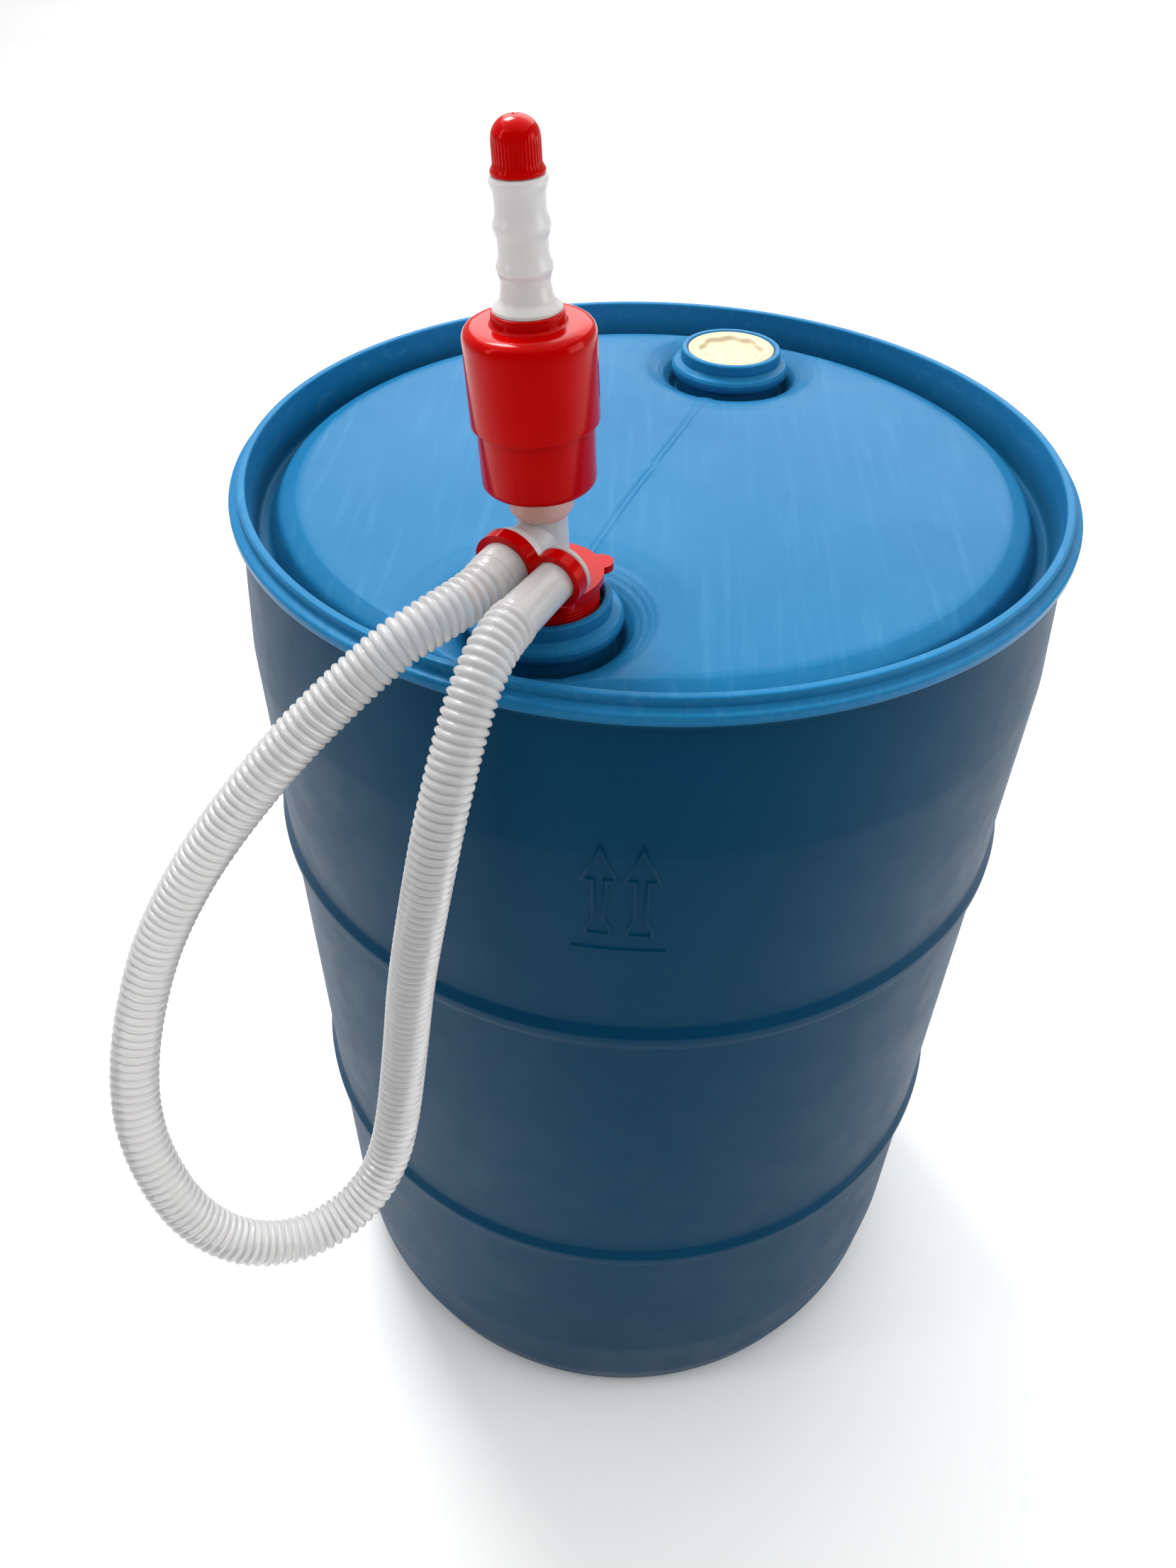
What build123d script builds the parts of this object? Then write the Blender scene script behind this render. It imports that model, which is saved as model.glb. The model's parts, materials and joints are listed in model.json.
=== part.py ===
"""Closed-head plastic drum with a hand siphon pump standing in one of its two bungs.

Millimetres, +Z up, origin at the centre of the drum's base. The pump leans a little in its bung,
so everything on it is drawn in the pump's own frame: h runs up the pump's axis from the underside
of the adapter's flange, and l runs out along the outlet from that axis.
"""
from build123d import *
from math import cos, pi, radians, sin, tan
import os

os.makedirs("parts", exist_ok=True)

# ---- drum: driving dimensions ----
drum_height = 888.0
drum_radius = 296.0
drum_wall = 4.5
hoop_height = 4.5  # how far the two rolling hoops stand out
hoop_width = 30.0
hoop_levels = (293.0, 602.0)
foot_inner = 240.0  # inner edge of the ring that the drum stands on
base_recess = 8.0
corner_height = 46.0  # where the rounded base corner meets the wall
shoulder_start = 775.0  # the wall narrows from here up to the rim
rim_inset = 8.0  # how much narrower the wall is just under the rim
rim_flange_out = 7.0
rim_flange_height = 8.0
rim_flange_top = 8.0  # from the lip down to the top of the flange
lip_wall = 6.0
gutter_depth = 36.0
gutter_width = 8.0
head_drop = 15.0  # from the lip down to the edge of the head's plateau
head_crown = 2.0
plateau_radius = 250.0

# ---- bungs ----
bung_distance = 199.0
bung_angle = 72.4  # direction of the plugged bung from the drum's axis, degrees
neck_bore = 35.6
neck_wall = 5.1
neck_bead_out = 7.3  # how far the bead stands out of the neck
neck_ledge_width = 6.6  # ledge inside the neck that the plug's gasket and the adapter rest on
neck_depth = 27.0  # from the neck's mouth down to the ledge inside it
thread_depth = 1.3
bung_pitch = 6.0
well_floor_drop = 31.0  # from the lip down to the floor of the well round each neck
well_floor_radius = 50.0
well_radius = 62.0
well_land_radius = 76.0
well_step_radius = 88.0
well_step = 3.0

# ---- plug ----
plug_clearance = 0.4
plug_gasket_height = 3.0
plug_recess_radius = 23.0
plug_recess_depth = 14.0
plug_lobes = 8
plug_lobe_radius = 5.0

# ---- embossed way-up sign on the wall ----
sign_angle = -91.2
sign_bottom = 693.0
sign_width = 52.0
sign_height = 88.0
sign_relief = 1.2

# ---- pump: driving dimensions ----
pump_lean = 2.8  # degrees from upright, towards -X
pump_offset = (1.671, 0.385)  # from the open bung's centre to the pump's line at its base
pump_rise = 9.0  # the base of the pump above the lip
stem_radius = 14.5
stem_bore = 11.5
stem_top = 72.0
stem_bottom = -45.0
adapter_flange = 34.0
adapter_thickness = 4.5
adapter_play = 4.6  # all round, between the adapter's shank and the neck's bore
adapter_length = 34.0
adapter_pitch = 2.2
ear_count = 4
ear_angle = 20.0
ear_reach = 41.0
ear_radius = 8.0
collar_radius = 18.5
collar_bottom = 43.5
cup_radius = 31.9
sleeve_play = 0.4  # between the cup and the sleeve's bore
cup_wall = 2.4
cup_bottom = 61.5
cup_top = 110.0
seal_height = 4.0
seal_clearance = 0.05
sleeve_wall = 2.6
sleeve_rim = 97.7
sleeve_top = 150.0
sleeve_roof = 3.0
socket_radius = 19.2
socket_top = 156.5
grip_flange = 18.1
grip_beads = (177.2, 196.3, 216.6)
grip_bead_radius = 14.5
grip_waist = 12.75
grip_bore = 8.0
nipple_radius = 9.3
nipple_top = 238.0
cap_radius = 11.9
cap_skirt = 13.4
cap_top = 244.0
cap_gap = 0.3
washer_height = 1.5

# ---- outlet, hose clip and hose ----
outlet_height = 31.0
outlet_angle = 242.0
outlet_droop = 4.0
branch_neck = 13.0
branch_radius = 16.8
branch_end = 30.0
stub_radius = 11.95
stub_bore = 9.0
stub_end = 47.0
clip_start = 31.0
clip_width = 8.0
clip_wall = 4.2
clip_spacing = 32.3
cuff_radius = 15.2
cuff_end = 51.0
parked_flange = 15.5
parked_radius_near = 11.4
parked_radius_far = 12.8
parked_end = 77.0
hose_radius = 14.0
hose_wall = 2.0

# ---- suction tube and valves ----
tube_radius = 11.4
tube_wall = 1.5
tube_top = -2.0
tube_joint = -425.0
foot_stand = 29.0  # the foot's end above the floor, measured along the tube
foot_height = 34.0
foot_slots = 6
coupling_length = 36.0
coupling_wall = 2.0
valve_disc_radius = 9.0
valve_disc_thickness = 1.5
valve_seat_height = 3.0
valve_seat_bore = 6.5
inlet_seat = 2.0  # h of the inlet seat's underside
inlet_travel = 5.0
outlet_seat = 15.0  # l of the outlet seat's inner face
outlet_travel = 3.0
cage_thickness = 2.0

press_gap = 0.05  # between parts pushed together
running_gap = 0.06  # between a shaft and the bore that it turns in

# ---- what follows from them ----
inner_radius = drum_radius - drum_wall
under_rim = drum_radius - rim_inset
head_edge = drum_height - head_drop
gutter_floor = drum_height - gutter_depth
gutter_outer = under_rim - lip_wall - 3.0
gutter_inner = gutter_outer - gutter_width
well_floor = drum_height - well_floor_drop
ledge = drum_height - neck_depth
plug_radius = neck_bore - plug_clearance
neck_radius = neck_bore + neck_wall
neck_bead = neck_radius + neck_bead_out
neck_ledge_bore = neck_bore - neck_ledge_width
adapter_shank = neck_bore - adapter_play
sleeve_radius = cup_radius + sleeve_play + sleeve_wall

bung_x = bung_distance * cos(radians(bung_angle))
bung_y = bung_distance * sin(radians(bung_angle))
bung_places = ((bung_x, bung_y), (-bung_x, -bung_y))
pump_base = (pump_offset[0] - bung_x, pump_offset[1] - bung_y, drum_height + pump_rise)
foot_bottom = foot_stand - drum_height - pump_rise

lean = radians(pump_lean)
pump_axis = Vector(-sin(lean), 0, cos(lean))
pump = Plane(origin=pump_base, x_dir=(cos(lean), 0, sin(lean)), z_dir=pump_axis)
pump_section = Plane(origin=pump_base, x_dir=pump.x_dir, z_dir=-pump.y_dir)
pump_line = Axis(pump_base, pump_axis)

turn = radians(outlet_angle)
droop = radians(outlet_droop)
outward = pump.x_dir * cos(turn) + pump.y_dir * sin(turn)
outlet_dir = outward * cos(droop) - pump_axis * sin(droop)
outlet_side = pump_axis.cross(outward)
outlet_origin = pump.origin + pump_axis * outlet_height
outlet = Plane(origin=outlet_origin, x_dir=outlet_side, z_dir=outlet_dir)
outlet_section = Plane(origin=outlet_origin, x_dir=outlet_side, z_dir=-outlet.y_dir)
outlet_line = Axis(outlet_origin, outlet_dir)
parked_origin = outlet_origin + outlet_side * clip_spacing
parked_section = Plane(origin=parked_origin, x_dir=outlet_side, z_dir=-outlet.y_dir)
parked_line = Axis(parked_origin, outlet_dir)

tube_bore = tube_radius - tube_wall
seal_radius = sleeve_radius - sleeve_wall - seal_clearance
seal_bottom = cup_top - 3.0 - seal_height


def save(part, name):
    """Label a finished piece and write it as its own STEP."""
    part.part.label = name
    export_step(part.part, f"parts/{name}.step")


def outline(points):
    """Draw a closed outline from (r, z, fillet radius) points; it starts and ends on the axis."""
    corners = [(r, z) for r, z, _ in points]
    FilletPolyline(*corners, radius=[fillet for _, _, fillet in points[1:-1]])
    Line(corners[-1], corners[0])


def ring(plane, low, high, outer, inner):
    """Add a plain ring on a plane, between two distances along the plane's normal."""
    with BuildSketch(plane.offset(low)) as profile:
        Circle(outer)
        Circle(inner, mode=Mode.SUBTRACT)
    extrude(profile.sketch, amount=high - low)


def thread_grooves(plane, radius, depth, pitch, low, high, inside):
    """Cut V-shaped rings into a shaft (inside=False) or a bore (inside=True), a pitch apart."""
    count = int((high - low) / pitch)
    root = radius + depth if inside else radius - depth
    section = Plane(origin=plane.origin, x_dir=plane.x_dir, z_dir=-plane.y_dir)
    for i in range(count):
        middle = low + (i + 0.5) * pitch
        half = 0.42 * pitch
        lip = radius - 0.2 if inside else radius + 0.2
        with BuildSketch(section) as groove:
            with BuildLine():
                Polyline((lip, middle - half), (root, middle), (lip, middle + half), close=True)
            make_face()
        revolve(groove.sketch, axis=Axis(plane.origin, plane.z_dir), mode=Mode.SUBTRACT)


# ---- drum shell ----
hoop_points = []
for level in hoop_levels:
    hoop_points += [
        (drum_radius, level - hoop_width / 2, 8.0),
        (drum_radius + hoop_height, level - hoop_width / 6, 5.0),
        (drum_radius + hoop_height, level + hoop_width / 6, 5.0),
        (drum_radius, level + hoop_width / 2, 8.0),
    ]
flange_top = drum_height - rim_flange_top
flange_bottom = flange_top - rim_flange_height
outer_points = [
    (0, base_recess, 0),
    (foot_inner - 10, base_recess, 6.0),
    (foot_inner, 0, 3.0),
    (drum_radius - 18, 0, 20.0),
    (drum_radius - 5, corner_height, 60.0),
    (drum_radius, corner_height + 64, 100.0),
    *hoop_points,
    (drum_radius, shoulder_start, 80.0),
    (under_rim, flange_bottom - 4, 5.0),
    (under_rim, flange_bottom, 1.0),
    (under_rim + rim_flange_out, flange_bottom + 1, 2.0),
    (under_rim + rim_flange_out, flange_top, 2.5),
    (under_rim, flange_top + 1, 1.0),
    (under_rim, drum_height, 1.5),
    (under_rim - lip_wall, drum_height, 1.5),
    (gutter_outer, gutter_floor, 3.0),
    (gutter_inner, gutter_floor, 3.5),
    (plateau_radius + 13, head_edge - 5, 8.0),
    (plateau_radius, head_edge, 20.0),
    (0, head_edge + head_crown, 0),
]
head_under = gutter_floor - drum_wall
cavity_points = [
    (0, base_recess + drum_wall, 0),
    (foot_inner - 12, base_recess + drum_wall, 6.0),
    (foot_inner, drum_wall, 6.0),
    (drum_radius - 22, drum_wall, 18.0),
    (inner_radius - 5, corner_height + 2, 55.0),
    (inner_radius, corner_height + 66, 95.0),
    (inner_radius, shoulder_start - 4, 76.0),
    (under_rim - drum_wall, head_under - 8, 8.0),
    (under_rim - drum_wall - 6, head_under, 5.0),
    (gutter_inner - drum_wall, head_under, 5.0),
    (plateau_radius + 8, head_edge - 5 - drum_wall, 8.0),
    (plateau_radius - 2, head_edge - drum_wall, 20.0),
    (0, head_edge + head_crown - drum_wall, 0),
]


def well_points(offset, top):
    """Section of the well round a neck, moved down and out by an offset, open up to a level."""
    return [
        (0, well_floor - offset),
        (well_floor_radius + offset / 2, well_floor - offset),
        (well_radius + offset, head_edge - well_step - offset),
        (well_land_radius + offset, head_edge - well_step - offset),
        (well_step_radius + offset, head_edge + head_crown - offset),
        (well_step_radius + offset, top),
        (0, top),
    ]


with BuildPart() as wells:
    for x, y in bung_places:
        with BuildSketch(Plane(origin=(x, y, 0), x_dir=(1, 0, 0), z_dir=(0, -1, 0))):
            with BuildLine():
                Polyline(*well_points(0, drum_height + 10), close=True)
            make_face()
        revolve(axis=Axis((x, y, 0), (0, 0, 1)))
    with BuildSketch(Plane.XY.offset(gutter_floor)):
        Circle(plateau_radius + 14)
    extrude(amount=gutter_depth + 12, mode=Mode.INTERSECT)

with BuildPart() as cavity:
    with BuildSketch(Plane.XZ):
        with BuildLine():
            outline(cavity_points)
        make_face()
    revolve(axis=Axis.Z)
    for x, y in bung_places:
        with BuildSketch(Plane(origin=(x, y, 0), x_dir=(1, 0, 0), z_dir=(0, -1, 0))):
            with BuildLine():
                Polyline(*well_points(drum_wall, drum_height), close=True)
            make_face()
        revolve(axis=Axis((x, y, 0), (0, 0, 1)), mode=Mode.SUBTRACT)

with BuildPart() as sign:
    sign_plane = Plane(
        origin=(0, 0, sign_bottom),
        x_dir=(-sin(radians(sign_angle)), cos(radians(sign_angle)), 0),
        z_dir=(cos(radians(sign_angle)), sin(radians(sign_angle)), 0),
    )
    with BuildSketch(sign_plane.offset(inner_radius)):
        with Locations((0, 0)):
            Rectangle(sign_width, 3.5, align=(Align.CENTER, Align.MIN))
        for side in (-1, 1):
            middle = side * sign_width * 0.25
            with Locations((middle, sign_height * 0.16)):
                Rectangle(6.0, sign_height * 0.62, align=(Align.CENTER, Align.MIN))
            with BuildLine():
                Polyline(
                    (middle - 9, sign_height * 0.74),
                    (middle + 9, sign_height * 0.74),
                    (middle, sign_height),
                    close=True,
                )
            make_face()
    extrude(amount=drum_wall + 10)
    with BuildSketch(Plane.XY.offset(sign_bottom - 5)):
        Circle(drum_radius + sign_relief)
        Circle(drum_radius - drum_wall / 2, mode=Mode.SUBTRACT)
    extrude(amount=sign_height + 10, mode=Mode.INTERSECT)

with BuildPart() as drum_shell:
    with BuildSketch(Plane.XZ):
        with BuildLine():
            outline(outer_points)
        make_face()
    revolve(axis=Axis.Z)
    add(wells.part, mode=Mode.SUBTRACT)
    add(cavity.part, mode=Mode.SUBTRACT)
    add(sign.part)
    for x, y in bung_places:
        neck_plane = Plane(origin=(x, y, 0), x_dir=(1, 0, 0), z_dir=(0, 0, 1))
        with BuildSketch(Plane(origin=(x, y, 0), x_dir=(1, 0, 0), z_dir=(0, -1, 0))):
            with BuildLine():
                Polyline(
                    (neck_ledge_bore - 2, well_floor - drum_wall - 4),
                    (neck_radius + 2.5, well_floor - drum_wall - 4),
                    (neck_radius + 2.5, drum_height - 22),
                    (neck_bead - 1, drum_height - 20),
                    (neck_bead, drum_height - 17),
                    (neck_bead, drum_height - 14),
                    (neck_bead - 1.5, drum_height - 11.5),
                    (neck_radius - 0.8, drum_height - 9),
                    (neck_radius, drum_height - 7),
                    (neck_radius, drum_height - 1),
                    (neck_radius - 1, drum_height),
                    (neck_ledge_bore - 2, drum_height),
                    close=True,
                )
            make_face()
        revolve(axis=Axis((x, y, 0), (0, 0, 1)))
        with BuildSketch(neck_plane.offset(well_floor - drum_wall - 10)):
            Circle(neck_ledge_bore)
        extrude(amount=60, mode=Mode.SUBTRACT)
        with BuildSketch(neck_plane.offset(ledge)):
            Circle(neck_bore)
        extrude(amount=neck_depth + 10, mode=Mode.SUBTRACT)
        thread_grooves(neck_plane, neck_bore, thread_depth, bung_pitch, ledge + 5, drum_height - 3, True)
save(drum_shell, "drum_shell")

# ---- plug and its gasket, in the far bung ----
plug_plane = Plane(origin=(bung_x, bung_y, ledge), x_dir=(1, 0, 0), z_dir=(0, 0, 1))
plug_height = neck_depth - plug_gasket_height - 0.6

with BuildPart() as bung_gasket:
    ring(plug_plane, 0, plug_gasket_height, plug_radius - 0.4, neck_ledge_bore + 1)
save(bung_gasket, "bung_gasket")

with BuildPart() as bung_plug:
    with BuildSketch(plug_plane.offset(plug_gasket_height)):
        Circle(plug_radius)
    extrude(amount=plug_height)
    with BuildSketch(plug_plane.offset(plug_gasket_height + plug_height - plug_recess_depth)):
        Circle(plug_recess_radius)
        with PolarLocations(plug_recess_radius, plug_lobes):
            Circle(plug_lobe_radius)
    extrude(amount=plug_recess_depth, mode=Mode.SUBTRACT)
    thread_grooves(
        plug_plane, plug_radius, thread_depth, bung_pitch,
        plug_gasket_height + 1, plug_gasket_height + plug_height - 2, False,
    )
save(bung_plug, "bung_plug")

# ---- adapter, loose in the near bung ----
with BuildPart() as pump_adapter:
    with BuildSketch(pump):
        Circle(adapter_flange)
        with PolarLocations(ear_reach - ear_radius, ear_count, start_angle=ear_angle):
            Circle(ear_radius)
    extrude(amount=adapter_thickness)
    with BuildSketch(pump.offset(-adapter_length)):
        Circle(adapter_shank)
    extrude(amount=adapter_length)
    thread_grooves(pump, adapter_shank, 0.8, adapter_pitch, 2 - adapter_length, -2, False)
    with BuildSketch(pump.offset(-adapter_length)):
        Circle(stem_radius + running_gap)
    extrude(amount=adapter_length + adapter_thickness, mode=Mode.SUBTRACT)
    with BuildSketch(pump.offset(-adapter_length)):
        Circle(adapter_shank - 4)
        Circle(stem_radius + 4, mode=Mode.SUBTRACT)
    extrude(amount=adapter_length - 5, mode=Mode.SUBTRACT)
save(pump_adapter, "pump_adapter")

# ---- tee: stem, side branch and hose stub in one moulding ----
with BuildPart() as pump_tee:
    with BuildSketch(pump.offset(stem_bottom)):
        Circle(stem_radius)
    extrude(amount=stem_top - stem_bottom)
    with BuildSketch(outlet_section):
        with BuildLine():
            Polyline(
                (0, 0),
                (branch_neck, 0),
                (branch_neck, stem_radius + 4.5),
                (branch_radius, branch_end - 5),
                (branch_radius, branch_end),
                (stub_radius, branch_end),
                (stub_radius, stub_end),
                (0, stub_end),
                close=True,
            )
        make_face()
    revolve(axis=outlet_line)
    with BuildSketch(pump.offset(stem_bottom)):
        Circle(stem_bore)
    extrude(amount=stem_top - stem_bottom, mode=Mode.SUBTRACT)
    with BuildSketch(outlet):
        Circle(stub_bore)
    extrude(amount=stub_end, mode=Mode.SUBTRACT)
    with BuildSketch(outlet.offset(outlet_seat)):
        Circle(stem_bore)
    chamber_length = valve_seat_height + valve_disc_thickness + outlet_travel + cage_thickness
    extrude(amount=chamber_length, mode=Mode.SUBTRACT)
save(pump_tee, "pump_tee")


def valve(plane, seat_at, travel, name):
    """Write a check valve's seat, disc and cage; the disc lifts off its seat along the plane's normal."""
    face = seat_at + valve_seat_height
    stop = face + valve_disc_thickness + travel
    with BuildPart() as seat:
        ring(plane, seat_at, face, stem_bore - press_gap, valve_seat_bore)
    save(seat, f"{name}_valve_seat")
    with BuildPart() as disc:
        with BuildSketch(plane.offset(face)):
            Circle(valve_disc_radius)
        extrude(amount=valve_disc_thickness)
    save(disc, f"{name}_valve_disc")
    with BuildPart() as cage:
        ring(plane, stop, stop + cage_thickness, stem_bore - press_gap, valve_disc_radius - 1)
        with BuildSketch(plane.offset(stop)):
            Rectangle(2 * valve_disc_radius, 2.5)
            Rectangle(2.5, 2 * valve_disc_radius)
        extrude(amount=cage_thickness)
    save(cage, f"{name}_valve_cage")


valve(pump, inlet_seat, inlet_travel, "inlet")
valve(outlet, outlet_seat, outlet_travel, "outlet")

# ---- suction tube: two lengths, their coupling and a slotted foot ----
tube_bottom = foot_bottom + 6.0
for name, low, high in (
    ("suction_tube_upper", tube_joint, tube_top),
    ("suction_tube_lower", tube_bottom, tube_joint),
):
    with BuildPart() as tube:
        ring(pump, low, high, tube_radius, tube_bore)
    save(tube, name)

with BuildPart() as tube_coupling:
    middle = tube_joint - coupling_length / 2
    sleeve_bore = tube_radius + press_gap
    ring(pump, middle, middle + coupling_length, sleeve_bore + coupling_wall, sleeve_bore)
save(tube_coupling, "tube_coupling")

with BuildPart() as suction_foot:
    foot_bore = tube_radius + press_gap
    with BuildSketch(pump.offset(foot_bottom)):
        Circle(foot_bore + coupling_wall)
    extrude(amount=foot_height)
    with BuildSketch(pump.offset(tube_bottom)):
        Circle(foot_bore)
    extrude(amount=foot_height, mode=Mode.SUBTRACT)
    with BuildSketch(pump.offset(foot_bottom)):
        Circle(tube_bore - 2)
    extrude(amount=foot_height, mode=Mode.SUBTRACT)
    for i in range(foot_slots // 2):
        with BuildSketch(pump.offset(foot_bottom)):
            Rectangle(4 * foot_bore, 4, rotation=i * 360 / foot_slots)
        extrude(amount=4, mode=Mode.SUBTRACT)
save(suction_foot, "suction_foot")

# ---- collar, cup and its seal ----
with BuildPart() as stem_collar:
    with BuildSketch(pump_section):
        with BuildLine():
            inside = stem_radius + press_gap
            knee = Line((inside, cup_bottom), (inside, collar_bottom))
            foot = Line(knee @ 1, (inside + 0.7, collar_bottom))
            bulge = (collar_radius - 0.9, collar_bottom + 3)
            flare = ThreePointArc(foot @ 1, bulge, (collar_radius, collar_bottom + 8))
            wall = Line(flare @ 1, (collar_radius, cup_bottom))
            Line(wall @ 1, knee @ 0)
        make_face()
    revolve(axis=pump_line)
save(stem_collar, "stem_collar")

with BuildPart() as pump_cup:
    with BuildSketch(pump.offset(cup_bottom)):
        Circle(cup_radius)
    extrude(amount=cup_top - cup_bottom)
    fillet(pump_cup.faces().sort_by(pump_line)[0].edges(), 4)
    with BuildSketch(pump.offset(cup_bottom + cup_wall)):
        Circle(cup_radius - cup_wall)
    extrude(amount=cup_top - cup_bottom, mode=Mode.SUBTRACT)
    with BuildSketch(pump.offset(cup_bottom)):
        Circle(stem_radius + press_gap)
    extrude(amount=cup_wall + 1, mode=Mode.SUBTRACT)
    with BuildSketch(pump.offset(seal_bottom)):
        Circle(cup_radius + 1)
        Circle(cup_radius - cup_wall / 2, mode=Mode.SUBTRACT)
    extrude(amount=seal_height, mode=Mode.SUBTRACT)
save(pump_cup, "pump_cup")

with BuildPart() as cup_seal:
    ring(pump, seal_bottom, seal_bottom + seal_height, seal_radius, cup_radius - cup_wall / 2 + press_gap)
save(cup_seal, "cup_seal")

with BuildPart() as stem_nut:
    with BuildSketch(pump.offset(cup_bottom + cup_wall)):
        RegularPolygon(stem_radius + 7, 6)
        Circle(stem_radius + press_gap, mode=Mode.SUBTRACT)
    extrude(amount=stem_top - cup_bottom - cup_wall - 1)
save(stem_nut, "stem_nut")

# ---- sleeve that slides over the cup, grip tube and vent cap ----
with BuildPart() as pump_sleeve:
    with BuildSketch(pump.offset(sleeve_rim)):
        Circle(sleeve_radius)
    extrude(amount=sleeve_top - sleeve_rim)
    fillet(pump_sleeve.faces().sort_by(pump_line)[-1].edges(), 9)
    with BuildSketch(pump.offset(sleeve_top)):
        Circle(socket_radius)
    extrude(amount=socket_top - sleeve_top)
    with BuildSketch(pump.offset(sleeve_rim)):
        Circle(sleeve_radius - sleeve_wall)
    extrude(amount=sleeve_top - sleeve_rim - 9, mode=Mode.SUBTRACT)
    with BuildSketch(pump.offset(sleeve_top - 9)):
        Circle(sleeve_radius - 9)
    extrude(amount=9 - sleeve_roof, mode=Mode.SUBTRACT)
    with BuildSketch(pump.offset(sleeve_rim)):
        Circle(grip_waist + press_gap)
    extrude(amount=socket_top, mode=Mode.SUBTRACT)
save(pump_sleeve, "pump_sleeve")

with BuildPart() as grip_tube:
    with BuildSketch(pump_section):
        with BuildLine():
            bottom = sleeve_top - sleeve_roof
            top = grip_beads[-1] + 2.4
            bore = Line((grip_bore, nipple_top), (grip_bore, bottom))
            spigot = Polyline(
                bore @ 1, (grip_waist, bottom), (grip_waist, socket_top),
                (grip_flange, socket_top), (grip_flange, socket_top + 2),
            )
            last = ThreePointArc(
                spigot @ 1, (grip_waist, socket_top + 12), (grip_bead_radius, grip_beads[0])
            )
            for low, high in zip(grip_beads, grip_beads[1:]):
                last = ThreePointArc(last @ 1, (grip_waist, (low + high) / 2), (grip_bead_radius, high))
            Polyline(
                last @ 1, (cap_skirt - 0.4, top), (nipple_radius, top),
                (nipple_radius, nipple_top), bore @ 0,
            )
        make_face()
    revolve(axis=pump_line)
save(grip_tube, "grip_tube")

cap_bottom = grip_beads[-1] + 2.4 + cap_gap
with BuildPart() as vent_washer:
    ring(pump, nipple_top, nipple_top + washer_height, nipple_radius, 2.0)
save(vent_washer, "vent_washer")

with BuildPart() as vent_cap:
    with BuildSketch(pump_section):
        with BuildLine():
            ceiling = nipple_top + washer_height
            hollow = Polyline(
                (1.0, cap_top), (1.0, ceiling), (nipple_radius + cap_gap, ceiling),
                (nipple_radius + cap_gap, cap_bottom), (cap_skirt, cap_bottom),
                (cap_skirt, cap_bottom + 1.5), (cap_radius, cap_bottom + 5), (cap_radius, cap_top - 10),
            )
            ThreePointArc(hollow @ 1, (cap_radius - 3.2, cap_top - 3), (1.0, cap_top))
        make_face()
    revolve(axis=pump_line)
save(vent_cap, "vent_cap")

# ---- hose clip: one ring holds the hose on its stub, the other parks its free end ----
with BuildPart() as hose_clip:
    with BuildSketch(outlet.offset(clip_start)):
        Circle(cuff_radius + press_gap + clip_wall)
        with Locations((clip_spacing, 0)):
            Circle(parked_radius_far + clip_wall - 1)
        with Locations((clip_spacing / 2, 0)):
            Rectangle(8, 16)
        Circle(cuff_radius + press_gap, mode=Mode.SUBTRACT)
        with Locations((clip_spacing, 0)):
            Circle(parked_radius_far - 0.5, mode=Mode.SUBTRACT)
    extrude(amount=clip_width)
save(hose_clip, "hose_clip")

with BuildPart() as hose_cuff:
    ring(outlet, branch_end, stub_end, cuff_radius, stub_radius + press_gap)
    ring(outlet, stub_end, cuff_end, cuff_radius, hose_radius - hose_wall)
save(hose_cuff, "hose_cuff")

with BuildPart() as hose_end:
    with BuildSketch(parked_section):
        with BuildLine():
            Polyline(
                (parked_radius_near - 2, branch_end - 3),
                (parked_flange, branch_end - 3),
                (parked_flange, branch_end - 0.5),
                (parked_radius_near, branch_end - 0.5),
                (parked_radius_far, parked_end),
                (parked_radius_far - 2, parked_end),
                close=True,
            )
        make_face()
    revolve(axis=parked_line)
save(hose_end, "hose_end")

# ---- hose: out of the outlet, over the rim, down beside the drum and back to the clip ----
hose_start = outlet_origin + outlet_dir * cuff_end
hose_finish = parked_origin + outlet_dir * parked_end
hose_points = [
    hose_start,
    hose_start + outlet_dir * 34,
    (-123, -287, 911),
    (-156, -304, 891),
    (-194, -314, 857),
    (-228, -322, 815),
    (-255, -336, 773),
    (-275, -359, 733),
    (-288, -390, 692),
    (-291, -423, 649),
    (-278, -448, 606),
    (-248, -455, 567),
    (-207, -442, 541),
    (-167, -412, 536),
    (-139, -374, 554),
    (-126, -345, 592),
    (-123, -333, 656),
    (-122, -342, 725),
    (-120, -359, 792),
    (-116, -363, 851),
    (-105, -344, 893),
    hose_finish + outlet_dir * 44,
    hose_finish,
]


def corner_radii(points):
    """Largest sensible arc at each corner of a route: 0.45 of the shorter run over tan(half the turn)."""
    radii = []
    for before, here, after in zip(points, points[1:], points[2:]):
        run_in = Vector(here) - Vector(before)
        run_out = Vector(after) - Vector(here)
        half_turn = radians(run_in.get_angle(run_out)) / 2
        radii.append(0.45 * min(run_in.length, run_out.length) / tan(half_turn))
    return radii


hose_radii = corner_radii(hose_points)
with BuildPart() as hose:
    with BuildLine() as hose_path:
        FilletPolyline(*hose_points, radius=hose_radii)
    with BuildSketch(outlet.offset(cuff_end)):
        Circle(hose_radius)
        Circle(hose_radius - hose_wall, mode=Mode.SUBTRACT)
    sweep()
save(hose, "hose")

hose_length = hose_path.wire().length
hose_section = pi * (hose_radius**2 - (hose_radius - hose_wall) ** 2)
print("hose radii", [round(radius) for radius in hose_radii])
volume_ratio = hose.part.volume / hose_section / hose_length
print("hose length", round(hose_length), "volume over section times length", round(volume_ratio, 4))
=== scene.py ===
"""Looks of a closed-head blue plastic drum with a siphon pump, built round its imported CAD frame."""

import json
import math

import bpy
from mathutils import Matrix, Vector


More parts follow.
